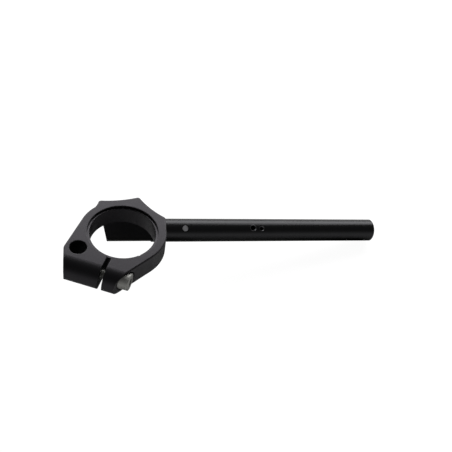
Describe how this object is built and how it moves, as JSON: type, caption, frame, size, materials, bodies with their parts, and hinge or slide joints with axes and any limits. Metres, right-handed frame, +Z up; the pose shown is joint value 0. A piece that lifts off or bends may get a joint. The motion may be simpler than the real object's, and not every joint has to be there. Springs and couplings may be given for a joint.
{
  "type": "clip-on handlebar",
  "caption": "Clip-on motorcycle handlebar: split fork-tube clamp lined with a split bush, a pinch bolt, and a straight drooped grip tube pinned to a drop arm behind the fork.",
  "frame": {"origin": "on the axis of the fork bore, at half the clamp's height", "axes": "+Z up the fork tube, +X the way the bar points when seen from above, +Y from the fork towards the bar"},
  "size_m": [0.3241, 0.1088, 0.094],
  "materials": {
    "clamp_anodised": "bead-blasted, black anodised",
    "bush_anodised": "turned, black anodised",
    "tube_anodised": "satin black anodised",
    "pin_steel": "ground steel",
    "bolt_zinc": "zinc plated"
  },
  "bodies": {
    "root": {"clamp_body": "clamp_anodised", "fork_bush": "bush_anodised", "bar_tube": "tube_anodised", "dowel_pin": "pin_steel", "pinch_bolt": "bolt_zinc"}
  },
  "joints": []
}
